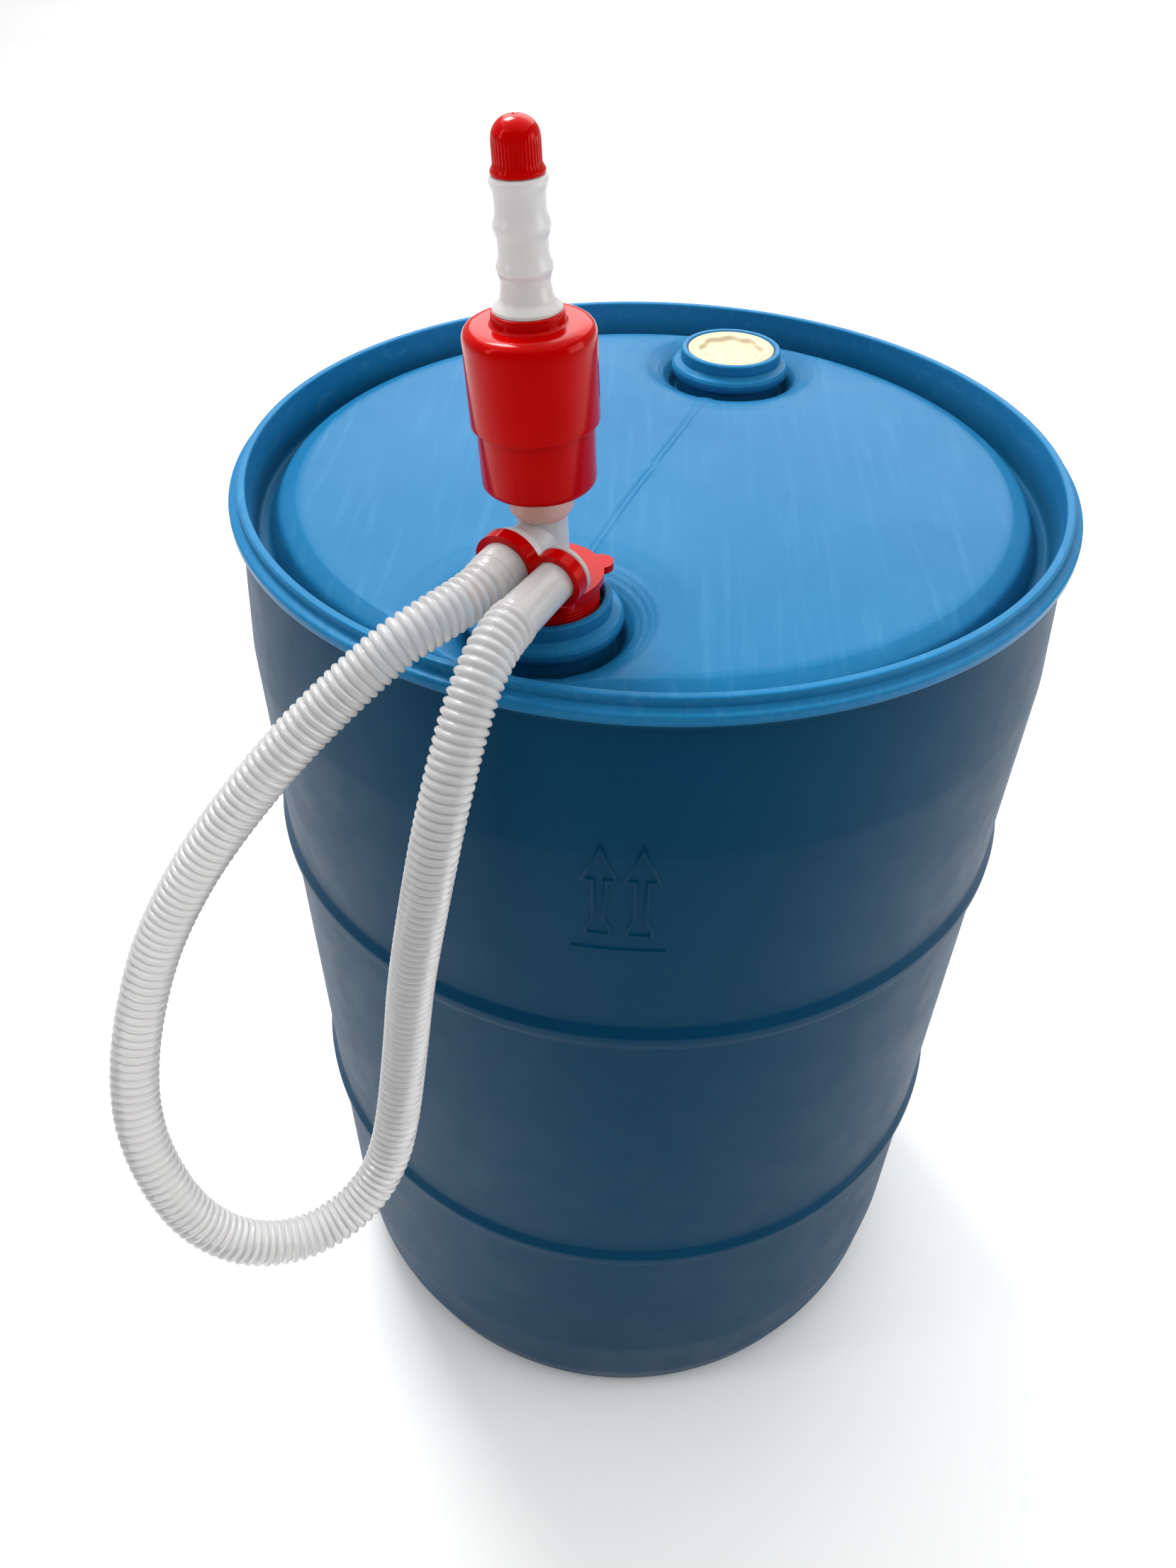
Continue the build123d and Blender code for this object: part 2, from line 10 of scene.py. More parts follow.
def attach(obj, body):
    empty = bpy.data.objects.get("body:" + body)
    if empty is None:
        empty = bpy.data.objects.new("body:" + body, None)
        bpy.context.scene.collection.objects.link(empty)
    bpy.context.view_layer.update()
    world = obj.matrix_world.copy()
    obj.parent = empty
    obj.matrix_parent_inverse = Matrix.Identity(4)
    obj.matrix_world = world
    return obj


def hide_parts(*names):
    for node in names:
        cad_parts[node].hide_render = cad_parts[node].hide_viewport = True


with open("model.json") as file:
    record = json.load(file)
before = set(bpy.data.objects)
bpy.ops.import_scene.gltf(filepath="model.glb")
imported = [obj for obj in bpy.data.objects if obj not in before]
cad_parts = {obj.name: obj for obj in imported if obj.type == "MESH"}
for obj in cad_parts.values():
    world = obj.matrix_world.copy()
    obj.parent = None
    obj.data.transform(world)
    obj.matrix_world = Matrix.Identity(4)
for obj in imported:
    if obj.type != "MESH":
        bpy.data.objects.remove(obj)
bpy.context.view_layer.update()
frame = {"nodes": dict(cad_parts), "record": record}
nodes = frame["nodes"]
scene = bpy.context.scene


def mm(*values):
    """A point given in millimetres, in metres."""
    return Vector(v / 1000 for v in values)


# ---- the pump's own directions, as in the CAD ----
LEAN = math.radians(2.8)
PUMP_BASE = mm(-58.5, -189.3, 897.0)
PUMP_X = Vector((math.cos(LEAN), 0, math.sin(LEAN)))
PUMP_Y = Vector((0, 1, 0))
PUMP_Z = Vector((-math.sin(LEAN), 0, math.cos(LEAN)))
TURN, DROOP = math.radians(242), math.radians(4)
OUTWARD = PUMP_X * math.cos(TURN) + PUMP_Y * math.sin(TURN)
OUTLET_Z = OUTWARD * math.cos(DROOP) - PUMP_Z * math.sin(DROOP)
OUTLET_X = PUMP_Z.cross(OUTWARD)
OUTLET_AT = PUMP_BASE + PUMP_Z * 0.031
PARKED_AT = OUTLET_AT + OUTLET_X * 0.0323
BUNGS = ((0.060171, 0.189685), (-0.060171, -0.189685))


def basis(origin, x, y, z):
    """Matrix that puts a shape drawn round +Z at an origin, along the given directions."""
    return Matrix.Translation(origin) @ Matrix((x, y, z)).transposed().to_4x4()


PUMP = basis(PUMP_BASE, PUMP_X, PUMP_Y, PUMP_Z)


# ---- materials ----
class Shader:
    """A material under construction: one Principled BSDF and short calls that add nodes to it."""

    def __init__(self, name, **constants):
        self.material = bpy.data.materials.new(name)
        self.material.use_nodes = True
        self.tree = self.material.node_tree
        self.bsdf = self.tree.nodes["Principled BSDF"]
        for socket, value in constants.items():
            self.bsdf.inputs[socket.replace("_", " ")].default_value = value
        self.coords = self.tree.nodes.new("ShaderNodeTexCoord").outputs["Object"]

    def link(self, output, socket):
        self.tree.links.new(output, self.bsdf.inputs[socket])

    def noise(self, scale, detail=4.0, stretch=None):
        """A 3-D noise over the object's own coordinates."""
        vector = self.coords
        if stretch:
            mapping = self.tree.nodes.new("ShaderNodeMapping")
            mapping.inputs["Scale"].default_value = stretch
            self.tree.links.new(vector, mapping.inputs["Vector"])
            vector = mapping.outputs["Vector"]
        node = self.tree.nodes.new("ShaderNodeTexNoise")
        node.inputs["Scale"].default_value = scale
        node.inputs["Detail"].default_value = detail
        self.tree.links.new(vector, node.inputs["Vector"])
        return node.outputs["Fac"]

    def spread(self, factor, low, high, start=0.3, end=0.7):
        """Map a factor between start and end onto a range."""
        node = self.tree.nodes.new("ShaderNodeMapRange")
        for socket, value in (("From Min", start), ("From Max", end), ("To Min", low), ("To Max", high)):
            node.inputs[socket].default_value = value
        self.tree.links.new(factor, node.inputs["Value"])
        return node.outputs["Result"]

    def math(self, operation, a, b):
        """One arithmetic node on two outputs."""
        node = self.tree.nodes.new("ShaderNodeMath")
        node.operation = operation
        for socket, value in zip(node.inputs, (a, b)):
            self.tree.links.new(value, socket)
        return node.outputs["Value"]

    def mix(self, factor, a, b):
        """Blend two colours, each a tuple or a node's output."""
        node = self.tree.nodes.new("ShaderNodeMix")
        node.data_type = "RGBA"
        self.tree.links.new(factor, node.inputs["Factor"])
        for socket, value in (("A", a), ("B", b)):
            target = next(s for s in node.inputs if s.name == socket and s.type == "RGBA")
            if isinstance(value, tuple):
                target.default_value = (*value, 1.0)
            else:
                self.tree.links.new(value, target)
        return next(s for s in node.outputs if s.type == "RGBA")

    def bump(self, height, strength, distance, below=None):
        """A bump of a distance in metres, on top of another bump where one is given."""
        node = self.tree.nodes.new("ShaderNodeBump")
        node.inputs["Strength"].default_value = strength
        node.inputs["Distance"].default_value = distance
        self.tree.links.new(height, node.inputs["Height"])
        if below is not None:
            self.tree.links.new(below, node.inputs["Normal"])
        return node.outputs["Normal"]


def plastic(name, dark, light, roughness, bump=0.02, **constants):
    """A moulded plastic: two near tones in soft patches, uneven gloss and a faint grain of bump mm."""
    s = Shader(name, **constants)
    s.link(s.mix(s.spread(s.noise(9.0), 0.0, 1.0), dark, light), "Base Color")
    s.link(s.spread(s.noise(14.0), roughness * 0.85, roughness * 1.15), "Roughness")
    s.link(s.bump(s.noise(90.0), 0.25, bump / 1000), "Normal")
    return s.material


def drum_plastic():
    """Blue polyethylene: paler on the head and rim, a painted top light, and glossier there, with fine
    scuffs and orange-peel.
    """
    lip_inner, lip_outer = 0.2840, 0.2875  # radii between which the head's painted top light gives way to the wall's tone
    s = Shader("drum_plastic", Specular_IOR_Level=0.13, Specular_Tint=(0.1, 0.6, 1.0, 1.0))
    split = s.tree.nodes.new("ShaderNodeSeparateXYZ")
    s.tree.links.new(s.coords, split.inputs["Vector"])
    across, back, height = (split.outputs[axis] for axis in "XYZ")
    spread_out = s.math("ADD", s.math("MULTIPLY", across, across), s.math("MULTIPLY", back, back))
    inside = s.spread(spread_out, 1.0, 0.0, lip_inner**2, lip_outer**2)
    # where the top light is painted: the head within the lip and the rim flange all round; the same mask
    # also sets the gloss
    raised = s.spread(height, 0.0, 1.0, 0.842, 0.878)
    flange = s.spread(height, 0.0, 1.0, 0.866, 0.876)
    head = s.math("MAXIMUM", s.math("MULTIPLY", inside, raised), flange)
    tone = s.mix(s.spread(s.noise(5.0), 0.0, 1.0), (0.0002, 0.036, 0.084), (0.0003, 0.041, 0.094))
    scuffs = s.noise(150.0, 6.0, (1.0, 0.05, 1.0))
    # the head's paler tones are a painted top light; the lighter scuffs mixed into it are real wear
    painted_top_light = s.mix(s.spread(s.noise(6.0), 0.0, 1.0), (0.008, 0.140, 0.310), (0.020, 0.170, 0.360))
    top_light_and_scuffs = s.mix(s.spread(scuffs, -0.4, 0.30), painted_top_light, (0.050, 0.230, 0.430))
    s.link(s.mix(head, tone, top_light_and_scuffs), "Base Color")
    unevenness = s.spread(s.noise(30.0, 6.0), 0.92, 1.08)
    gloss = s.math("MULTIPLY", unevenness, s.spread(head, 0.46, 0.30, 0.0, 1.0))
    s.link(gloss, "Roughness")
    peel = s.bump(s.noise(420.0, 2.0), 0.25, 0.0005)
    s.link(s.bump(s.noise(45.0, 3.0), 0.06, 0.0015, peel), "Normal")
    return s.material


def milky(name, transmission, roughness, tone):
    """Light-passing white polyethylene: mostly scattering, with some light straight through."""
    s = Shader(
        name, Transmission_Weight=transmission, IOR=1.45, Subsurface_Weight=0.35,
        Subsurface_Radius=(0.012, 0.012, 0.012), Subsurface_Scale=1.0, Specular_IOR_Level=0.5,
    )
    lighter = tuple(min(1.0, c * 1.05) for c in tone)
    s.link(s.mix(s.spread(s.noise(20.0), 0.0, 1.0), tone, lighter), "Base Color")
    s.link(s.spread(s.noise(35.0), roughness * 0.8, roughness * 1.2), "Roughness")
    s.link(s.bump(s.noise(150.0), 0.05, 0.0001), "Normal")
    return s.material


BLUE = drum_plastic()
CREAM = plastic("cream_plastic", (0.52, 0.43, 0.27), (0.57, 0.48, 0.32), 0.5, bump=0.05)
RED = plastic(
    "red_plastic", (0.42, 0.0, 0.0), (0.50, 0.0, 0.0), 0.13,
    Specular_IOR_Level=0.38, Specular_Tint=(1.0, 0.1, 0.08, 1.0),
)
PEACH = plastic("peach_plastic", (0.78, 0.46, 0.38), (0.84, 0.54, 0.46), 0.35)
RUBBER = plastic("black_rubber", (0.02, 0.02, 0.02), (0.035, 0.035, 0.035), 0.6, bump=0.06)
WHITE = plastic("white_plastic", (0.78, 0.78, 0.76), (0.85, 0.85, 0.83), 0.35)
MILKY = milky("milky_plastic", 0.10, 0.24, (0.70, 0.685, 0.68))
HOSE = milky("hose_plastic", 0.50, 0.13, (0.80, 0.79, 0.78))

BY_SLOT = {
    "drum_plastic": BLUE, "plug_plastic": CREAM, "gasket_rubber": RUBBER, "red_plastic": RED,
    "clear_plastic": MILKY, "valve_plastic": WHITE, "valve_rubber": RUBBER, "tube_plastic": MILKY,
    "collar_plastic": PEACH, "hose_plastic": HOSE,
}
for part in frame["record"]["subparts"]:
    mesh = nodes[part["node"]].data
    mesh.materials.clear()
    mesh.materials.append(BY_SLOT[part["material_slot"]])


# ---- mesh helpers ----
def make_object(name, vertices, faces, material, body, crease=None):
    """A smooth-shaded piece that rides on a body; edges sharper than crease degrees stay sharp."""
    mesh = bpy.data.meshes.new(name)
    mesh.from_pydata(vertices, [], faces)
    mesh.update()
    mesh.materials.append(material)
    mesh.shade_smooth()
    if crease:
        mesh.set_sharp_from_angle(angle=math.radians(crease))
    obj = bpy.data.objects.new(name, mesh)
    scene.collection.objects.link(obj)
    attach(obj, body)
    return obj


def rounded(points, steps):
    """Round the corners of an (r, z, fillet) outline, in mm; returns plain (r, z) points."""
    made = []
    count = len(points)
    for i, (r, z, fillet) in enumerate(points):
        here = Vector((r, z))
        if fillet <= 0 or i in (0, count - 1):
            made.append(here)
            continue
        back = Vector(points[i - 1][:2]) - here
        ahead = Vector(points[i + 1][:2]) - here
        turn = math.pi - back.angle(ahead)
        if turn < 1e-3:
            made.append(here)
            continue
        reach = min(fillet * math.tan(turn / 2), back.length * 0.49, ahead.length * 0.49)
        start, end = here + back.normalized() * reach, here + ahead.normalized() * reach
        for k in range(steps + 1):
            t = k / steps
            made.append(start * (1 - t) ** 2 + here * 2 * t * (1 - t) + end * t * t)
    return [(p.x, p.y) for p in made]


def refine(points, longest):
    """Split the spans of an outline so that none is longer than a limit."""
    made = [points[0]]
    for (r0, z0), (r1, z1) in zip(points, points[1:]):
        pieces = max(1, math.ceil(math.hypot(r1 - r0, z1 - z0) / longest))
        for k in range(1, pieces + 1):
            made.append((r0 + (r1 - r0) * k / pieces, z0 + (z1 - z0) * k / pieces))
    return made


def lathe(outline, segments, shape=None, closed=False):
    """Vertices (metres) and faces of an outline of (r, z) in mm turned round Z.

    shape(x, y, z, r, angle) moves each point; closed joins the outline's end to its start.
    """
    vertices, faces = [], []
    for r, z in outline:
        for k in range(segments):
            a = 2 * math.pi * k / segments
            point = (r * math.cos(a), r * math.sin(a), z)
            if shape:
                point = shape(*point, r, a)
            vertices.append(mm(*point))
    rows = len(outline)
    for i in range(rows if closed else rows - 1):
        low, high = i * segments, ((i + 1) % rows) * segments
        for k in range(segments):
            n = (k + 1) % segments
            faces.append((low + k, low + n, high + n, high + k))
    return vertices, faces


# ---- drum: one lathe for wall, rim and head, with the wells pressed into the head ----
HEAD_EDGE, HEAD_CROWN, PLATEAU = 873.0, 2.0, 250.0  # height of the head's edge, its rise, its radius
WELL_FLOOR = 850.0
BUNG_DISTANCE = 199.0  # of a bung's centre from the drum's
SEAM_LINES, SEAM_END = (-2.0, 2.0), 262.0  # ridges of the moulding seam beside the bungs' line, their reach
WALL_RADIUS, HOOP_RADIUS = 296.0, 300.5
HOOP_LEVELS = (293.0, 602.0)
BUNG_PITCH = 6.0
WELL = (  # distance from a bung's centre, depth below the head
    (0, 31.0), (43.0, 30.0), (46.0, 21.0), (51.0, 12.5), (56.0, 8.0), (61.0, 5.6), (62.4, 5.5), (63.0, 4.6),
    (65.0, 3.8), (70.0, 1.9), (73.0, 1.2), (74.0, 1.3), (75.0, 0.9), (84.0, 0.5), (92.0, 0.0),
)


def well_drop(distance):
    """Depth of a well at a distance from its bung's centre."""
    for (d0, z0), (d1, z1) in zip(WELL, WELL[1:]):
        if distance <= d1:
            t = (distance - d0) / (d1 - d0)
            t = t * t * (3 - 2 * t)
            return z0 + (z1 - z0) * t
    return 0.0


def press_wells(x, y, z, r, a):
    """Move a point of the head down into the wells and up along the moulding seam."""
    if r > 268 or z < 840:
        return x, y, z
    drop = 0.0
    for bx, by in BUNGS:
        drop = max(drop, well_drop(math.hypot(x - bx * 1000, y - by * 1000)))
    if drop > 0:
        z = min(z, max(HEAD_EDGE + HEAD_CROWN * max(0.0, 1 - r / PLATEAU) - drop, WELL_FLOOR))
    across = (x * BUNGS[0][1] - y * BUNGS[0][0]) * 1000 / BUNG_DISTANCE
    if r < SEAM_END:
        wander = 0.3 * math.sin(r / 17.0 + a)
        for line in SEAM_LINES:
            z += 0.8 * math.exp(-((across + line + wander) ** 2))
        z += 0.3 * math.exp(-(across / 6.0) ** 2)
    return x, y, z


hoops = []
for level in HOOP_LEVELS:
    hoops += [
        (WALL_RADIUS, level - 12, 7), (HOOP_RADIUS, level - 3.5, 5),
        (HOOP_RADIUS, level + 3.5, 5), (WALL_RADIUS, level + 12, 7),
    ]
wall = [  # radius, height, fillet
    (0, 8, 0), (228, 8, 6), (240, 0, 3), (278, 0, 20), (291, 46, 60), (WALL_RADIUS, 110, 100), *hoops,
    (WALL_RADIUS, 775, 80), (288, 868, 5), (288, 872.3, 1), (294.6, 873, 2), (294.6, 880, 2.5),
    (288, 881, 1.2), (288, 887.9, 1.8), (282.2, 887.9, 1.8), (279, 852, 4), (271, 852, 4),
    (263, 868, 8), (250, 873, 20),
]
head = [
    (r, HEAD_EDGE + HEAD_CROWN * (1 - r / PLATEAU)) for r in (244, 238, 225, 200, 150, 100, 50, 20, 0.5)
]
shell = refine(rounded(wall, 6), 9.0)
rim_start = 845
lower = [p for p in shell if p[1] <= rim_start]
rim = [p for p in shell if p[1] > rim_start]
outline = lower + refine(rim, 2.0) + refine(head, 1.8)
vertices, faces = lathe(outline, 720, press_wells)
drum = make_object("drum_body", vertices, faces, BLUE, "drum")
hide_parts("drum_shell")

neck = rounded([
    (26, 850, 0), (43, 850, 0), (43, 866, 2), (47, 868, 1), (48, 871, 1), (48, 874, 1), (46.3, 876.5, 1.2),
    (40.2, 878.5, 1), (40.7, 881, 0.5), (40.7, 887, 0.8), (39.6, 888, 0.8), (36.6, 888, 0.8),
    (35.4, 886, 0.6),
], 3)
bore = []
for turn in range(4):
    level = 884.0 - BUNG_PITCH * turn
    bore += [
        (35.6, level), (35.7, level - 1.2), (36.9, level - 2.4), (36.9, level - 3.4), (35.7, level - 4.6)
    ]
bore += [(35.6, 861), (29.0, 861), (29.0, 846)]


def neck_shape(x, y, z, r, a):
    """Lift the threads of the neck's bore into a helix."""
    if r < 37.2 and 862 < z < 885:
        z += BUNG_PITCH * a / (2 * math.pi) - BUNG_PITCH / 2
        z = min(z, 886.5)
    return x, y, z


for number, (bx, by) in enumerate(BUNGS, 1):
    vertices, faces = lathe(refine(neck, 2.0) + bore, 160, neck_shape)
    vertices = [v + Vector((bx, by, 0)) for v in vertices]
    make_object(f"bung_neck_{number}", vertices, faces, BLUE, "drum", crease=50)


# ---- plug, grip tube and vent cap: turned shapes with soft edges ----
def turned(name, stands_for, outline, segments, place, material, body, shape=None, crease=None):
    """A closed lathe that takes the place of a CAD node."""
    vertices, faces = lathe(outline, segments, shape, closed=True)
    obj = make_object(name, [place @ v for v in vertices], faces, material, body, crease=crease)
    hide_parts(stands_for)


def plug_dish(x, y, z, r, a):
    """Press a shallow lobed dish into the plug's top."""
    radius, depth, slope = 26.0, 3.4, 3.5
    if z > 887 and r < 31:
        edge = radius + 1.6 * math.cos(8 * a)
        t = min(1.0, max(0.0, (edge - r) / slope))
        z -= depth * t * t * (3 - 2 * t) + 0.5 * max(0.0, 1 - r / 4)
    return x, y, z


plug = [(0.3, 864), (33.4, 864)]
for turn in range(3):
    level = 866.0 + BUNG_PITCH * turn
    plug += [
        (33.8, level), (33.8, level + 1.4), (35.0, level + 2.6), (35.0, level + 3.4), (33.8, level + 4.6)
    ]
plug += [(35.2, 884.5), (35.2, 886.9), (34.8, 887.3), (32.2, 887.3), (31.9, 887.0), (31.6, 887.3)]
plug += [(r / 10, 887.3) for r in range(310, 0, -8)] + [(0.3, 887.3)]
turned(
    "plug", "bung_plug", plug, 160, Matrix.Translation((*BUNGS[0], 0)), CREAM, "bung_plug",
    plug_dish, crease=50,
)

BEADS = (177.2, 196.3, 216.6)
FOOT_TOP = 169.0  # top of the grip's flared foot, in the middle of its first waist
WAIST, SWELL = 12.8, 1.7  # radius of the waists, and what a bead adds
grip = [(8.0, 147), (12.75, 147), (12.75, 156.5)]
grip += rounded(
    [(12.75, 156.5, 0), (18.0, 156.5, 0.5), (17.8, 158.4, 0.8), (14.0, 162, 5), (12.9, FOOT_TOP, 5)], 5
)
for low, high in ((FOOT_TOP, BEADS[0]), *zip(BEADS, BEADS[1:])):
    for k in range(1, 17):
        t = k / 16
        if low == FOOT_TOP:
            t = 0.5 + t / 2
        z = low + (high - low) * k / 16
        grip.append((WAIST + SWELL * abs(math.cos(math.pi * t)) ** 5, z))
grip += [(14.2, 217.6), (13.2, 218.8), (9.3, 219), (9.3, 238), (8.0, 238)]
turned("grip", "grip_tube", grip, 96, PUMP, MILKY, "pump_head", crease=60)


def knurl(x, y, z, r, a):
    """Upright grooves round the cap's skirt."""
    low, high, grooves = 221.5, 237, 40
    if r > 11 and low < z < high:
        depth = 0.28 * min(1.0, (z - low) / 2, (high - z) / 4)
        scale = (r - depth * (0.5 - 0.5 * math.cos(grooves * a))) / r
        return x * scale, y * scale, z
    return x, y, z


cap = rounded([(9.6, 219.3, 0), (13.4, 219.3, 0.3), (13.4, 220.9, 0.8), (11.9, 223.5, 2)], 4)
cap += [(11.9, 223.5 + k) for k in range(1, 11)]
for degrees in range(6, 88, 6):  # the dome
    t = math.radians(degrees)
    cap.append((1.0 + 10.9 * math.cos(t), 234 + 10 * math.sin(t)))
cap += [(1.6, 244.0), (1.0, 243.5), (1.0, 239.5), (9.6, 239.5)]
turned("cap", "vent_cap", cap, 320, PUMP, RED, "vent_cap", knurl, crease=50)


# ---- sleeve: as the CAD's, with a rolled lower edge ----
sleeve = rounded([
    (32.4, 141, 0), (32.4, 97.9, 0.3), (33.2, 97.7, 0.5), (34.9, 97.9, 3.2), (34.9, 120, 1), (34.9, 150, 8),
    (20.4, 150, 0.8), (19.2, 151, 0.8), (19.2, 156.5, 1.2), (13.0, 156.5, 0), (12.8, 147, 0),
    (25.9, 147, 0), (25.9, 141, 0),
], 6)
turned(
    "sleeve", "pump_sleeve", refine(sleeve, 4.0), 160, PUMP, RED, "pump_head", crease=50
)

for name in ("pump_adapter", "hose_clip"):
    bevel = nodes[name].modifiers.new("soft_edges", "BEVEL")
    bevel.width = 0.0005
    bevel.segments = 3
    bevel.limit_method = "ANGLE"
    bevel.angle_limit = math.radians(40)


# ---- raised way-up sign: two arrows and a bar, as thin ridges on the wall ----
def ridge_on_wall(paths, width, height, angle, bottom):
    """Soft ridges along paths of (across, up) in mm, wrapped on the wall at an angle."""
    vertices, faces = [], []
    section = ((-1.0, -0.6), (-0.7, 0.45), (-0.3, 0.9), (0.0, 1.0), (0.3, 0.9), (0.7, 0.45), (1.0, -0.6))
    for path, closed in paths:
        corners = [Vector(p) for p in path]
        count = len(corners)
        first = len(vertices)
        for i, here in enumerate(corners):
            before = corners[i - 1] if i or closed else here - (corners[1] - here)
            after = corners[(i + 1) % count] if i < count - 1 or closed else here + (here - corners[i - 1])
            a, b = (here - before).normalized(), (after - here).normalized()
            mean = (a + b).normalized()
            normal = Vector((-mean.y, mean.x)) / max(0.35, mean.dot(a))
            for u, v in section:
                flat = here + normal * u * width / 2
                turn = angle + flat.x / WALL_RADIUS
                r = WALL_RADIUS + v * height
                vertices.append(mm(r * math.cos(turn), r * math.sin(turn), bottom + flat.y))
        n = len(section)
        for i in range(count if closed else count - 1):
            low, high = first + i * n, first + ((i + 1) % count) * n
            faces += [(low + k, low + k + 1, high + k + 1, high + k) for k in range(n - 1)]
    return vertices, faces


def arrow(x):
    """Outline of one arrow of the sign: flared foot, straight stem, barbed head."""
    half = [(7.5, 14), (7.5, 20), (3.6, 27), (3.6, 62), (10.0, 62), (0, 88)]
    return [(x - u, v) for u, v in half] + [(x + u, v) for u, v in reversed(half[:-1])]


sign = [(arrow(-13), True), (arrow(13), True), ([(-30, 0), (-15, 0), (0, 0), (15, 0), (30, 0)], False)]
vertices, faces = ridge_on_wall(sign, 3.4, 1.2, math.radians(-91.2), 693.0)
make_object("way_up_sign", vertices, faces, BLUE, "drum")


# ---- hose: the CAD's route in metres, its points refitted by calculation to the photograph's hose ----
# The line stays within 28 mm of the CAD's tube.
hose_start = OUTLET_AT + OUTLET_Z * 0.051
hose_finish = PARKED_AT + OUTLET_Z * 0.077
ROUTE = [
    hose_start,
    hose_start + OUTLET_Z * 0.015,
    (-0.114, -0.271, 0.917),
    (-0.135, -0.285, 0.908),
    (-0.187, -0.315, 0.864),
    (-0.228, -0.336, 0.816),
    (-0.254, -0.351, 0.777),
    (-0.273, -0.368, 0.738),
    (-0.286, -0.395, 0.685),
    (-0.284, -0.418, 0.640),
    (-0.263, -0.436, 0.590),
    (-0.234, -0.438, 0.559),
    (-0.204, -0.428, 0.545),
    (-0.176, -0.410, 0.545),
    (-0.155, -0.390, 0.559),
    (-0.144, -0.373, 0.586),
    (-0.135, -0.355, 0.652),
    (-0.126, -0.352, 0.720),
    (-0.111, -0.351, 0.797),
    (-0.100, -0.342, 0.850),
    (-0.087, -0.315, 0.900),
    hose_finish + OUTLET_Z * 0.018,
    hose_finish,
]
HOSE_RADIUS, VALLEY_RADIUS = 0.0140, 0.0114
NEAR_RADIUS, FAR_RADIUS = 0.0150, 0.0134  # of the hose's plain ends
NEAR_CUFF, FAR_CUFF = 0.012, 0.004  # length over which each end turns into rings
PITCH = 0.0051


def follow(route, resolution):
    """Points of the NURBS line through a route's control points."""
    curve = bpy.data.curves.new("hose_line", "CURVE")
    curve.dimensions = "3D"
    curve.resolution_u = resolution
    spline = curve.splines.new("NURBS")
    spline.points.add(len(route) - 1)
    for point, place in zip(spline.points, route):
        point.co = (*place, 1.0)
    spline.order_u = 3
    spline.use_endpoint_u = True
    holder = bpy.data.objects.new("hose_line", curve)
    scene.collection.objects.link(holder)
    mesh = bpy.data.meshes.new_from_object(holder)
    points = [v.co.copy() for v in mesh.vertices]
    bpy.data.objects.remove(holder)
    bpy.data.meshes.remove(mesh)
    return points


def even(points, step):
    """The same line with points an even step apart, and its length."""
    marks = [0.0]
    for a, b in zip(points, points[1:]):
        marks.append(marks[-1] + (b - a).length)
    total = marks[-1]
    count = round(total / step)
    made, i = [], 0
    for k in range(count + 1):
        s = total * k / count
        while i < len(points) - 2 and marks[i + 1] < s:
            i += 1
        span = marks[i + 1] - marks[i]
        made.append(points[i].lerp(points[i + 1], (s - marks[i]) / span if span else 0))
    return made, total


line, hose_length = even(follow(ROUTE, 40), PITCH / 8)


def corrugation(s, total):
    """Radius of the hose at a distance along it: rounded rings, narrow valleys, plain ends."""
    phase = (s / PITCH) % 1.0
    ridge = abs(math.sin(math.pi * phase)) ** 0.7
    radius = VALLEY_RADIUS + (HOSE_RADIUS - VALLEY_RADIUS) * ridge
    near, far = s / NEAR_CUFF, (total - s) / FAR_CUFF
    if near < 1:
        radius = NEAR_RADIUS * (1 - near**2) + radius * near**2
    if far < 1:
        radius = FAR_RADIUS * (1 - far) + radius * far
    return radius


def tube_along(points, radius_at, total, segments):
    """A tube round a line, its radius given by radius_at(distance, total length)."""
    vertices, faces = [], []
    tangent = (points[1] - points[0]).normalized()
    side = tangent.orthogonal().normalized()
    step = total / (len(points) - 1)
    for i, here in enumerate(points):
        ahead = (points[min(i + 1, len(points) - 1)] - points[max(i - 1, 0)]).normalized()
        side = (side - ahead * side.dot(ahead)).normalized()
        up = ahead.cross(side)
        radius = radius_at(i * step, total)
        for k in range(segments):
            a = 2 * math.pi * k / segments
            vertices.append(here + (side * math.cos(a) + up * math.sin(a)) * radius)
        if i:
            low, high = (i - 1) * segments, i * segments
            for k in range(segments):
                n = (k + 1) % segments
                faces.append((low + k, low + n, high + n, high + k))
    return vertices, faces


vertices, faces = tube_along(line, corrugation, hose_length, 48)
hose = make_object("corrugated_hose", vertices, faces, HOSE, "drum")
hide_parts("hose")

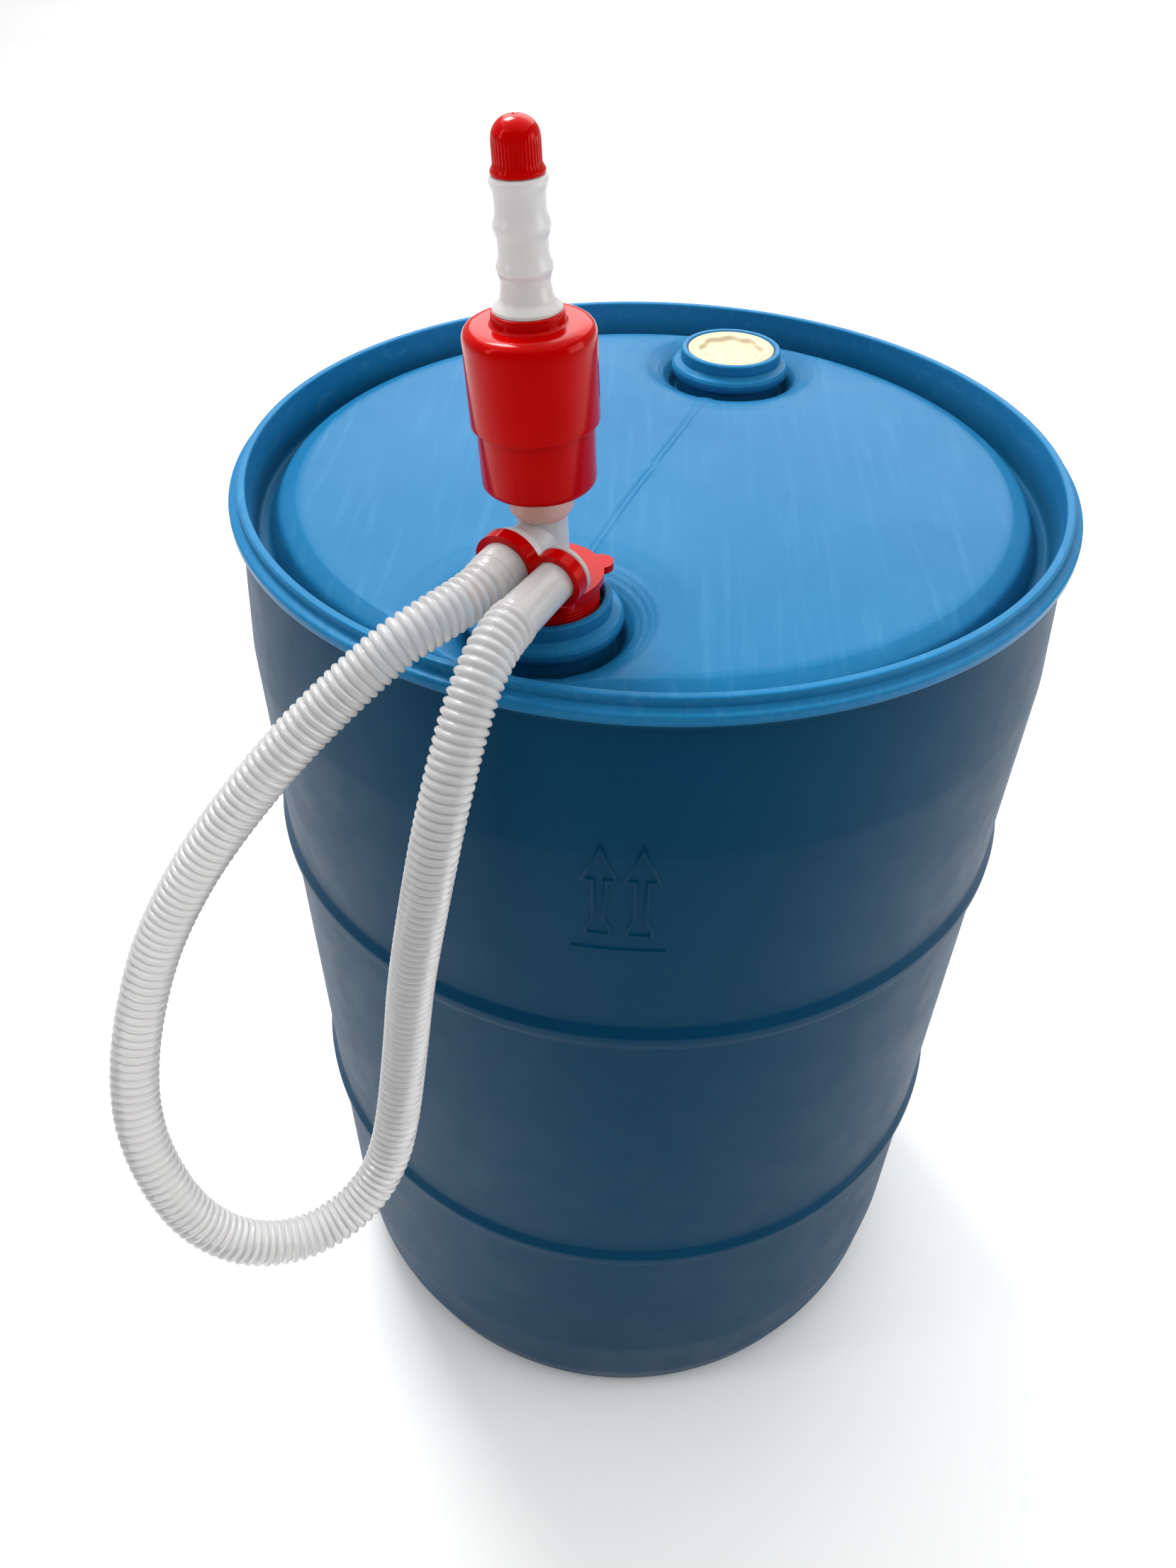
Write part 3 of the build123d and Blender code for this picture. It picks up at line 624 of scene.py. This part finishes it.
# ---- camera ----
IMAGE_HEIGHT, FOCAL_LENGTH = 2212, 1695  # in image points
camera_data = bpy.data.cameras.new("camera")
camera = bpy.data.objects.new("camera", camera_data)
scene.collection.objects.link(camera)
yaw, pitch, roll = math.radians(-3.065), math.radians(41.691), math.radians(0.832)
forward = Vector((math.sin(yaw) * math.cos(pitch), math.cos(yaw) * math.cos(pitch), -math.sin(pitch)))
right = forward.cross(Vector((0, 0, 1))).normalized()
up = right.cross(forward)
right, up = right * math.cos(roll) + up * math.sin(roll), up * math.cos(roll) - right * math.sin(roll)
camera.matrix_world = basis(mm(0, -794.07, 1276.07), right, up, -forward)
camera_data.sensor_fit = "VERTICAL"
camera_data.angle_y = 2 * math.atan(IMAGE_HEIGHT / 2 / FOCAL_LENGTH)
camera_data.clip_start, camera_data.clip_end = 0.01, 100
scene.camera = camera

# ---- floor and light ----
FLOOR = 40  # half its side
floor_mesh = bpy.data.meshes.new("floor")
floor_mesh.from_pydata(
    [(-FLOOR, -FLOOR, 0), (FLOOR, -FLOOR, 0), (FLOOR, FLOOR, 0), (-FLOOR, FLOOR, 0)], [], [(0, 1, 2, 3)]
)
paper = Shader("floor_paper", Roughness=0.9)
shade = paper.mix(paper.spread(paper.noise(3.0), 0, 1), (0.93, 0.93, 0.93), (0.95, 0.95, 0.95))
paper.link(shade, "Base Color")
floor_mesh.materials.append(paper.material)
floor = bpy.data.objects.new("floor", floor_mesh)
scene.collection.objects.link(floor)


def area_light(name, place, target, size, power, size_y=None):
    """A square or oblong soft light that faces a target."""
    light = bpy.data.lights.new(name, "AREA")
    light.energy, light.size = power, size
    if size_y:
        light.shape, light.size_y = "RECTANGLE", size_y
    holder = bpy.data.objects.new(name, light)
    scene.collection.objects.link(holder)
    holder.location = place
    holder.rotation_euler = (Vector(target) - Vector(place)).to_track_quat("-Z", "Y").to_euler()


area_light("ceiling", (0, 0.5, 4.5), (0, 0.5, 0), 7.0, 200)
area_light("back_panel", (0.5, 9.0, 5.0), (0.5, 8.0, 0), 9.0, 520)
area_light("key_softbox", (-0.9, 1.3, 3.3), (0, 0, 0.7), 0.9, 70)
area_light("right_panel", (2.8, -0.3, 1.4), (0, 0, 0.6), 1.6, 26)
area_light("left_strip", (-1.9, -0.9, 2.0), (0, 0, 1.0), 0.35, 9, 1.6)

world = bpy.data.worlds.new("studio")
world.use_nodes = True
background = world.node_tree.nodes["Background"]
background.inputs["Color"].default_value = (1.0, 1.0, 1.0, 1.0)
background.inputs["Strength"].default_value = 0.33
scene.world = world
scene.view_settings.view_transform = "Standard"
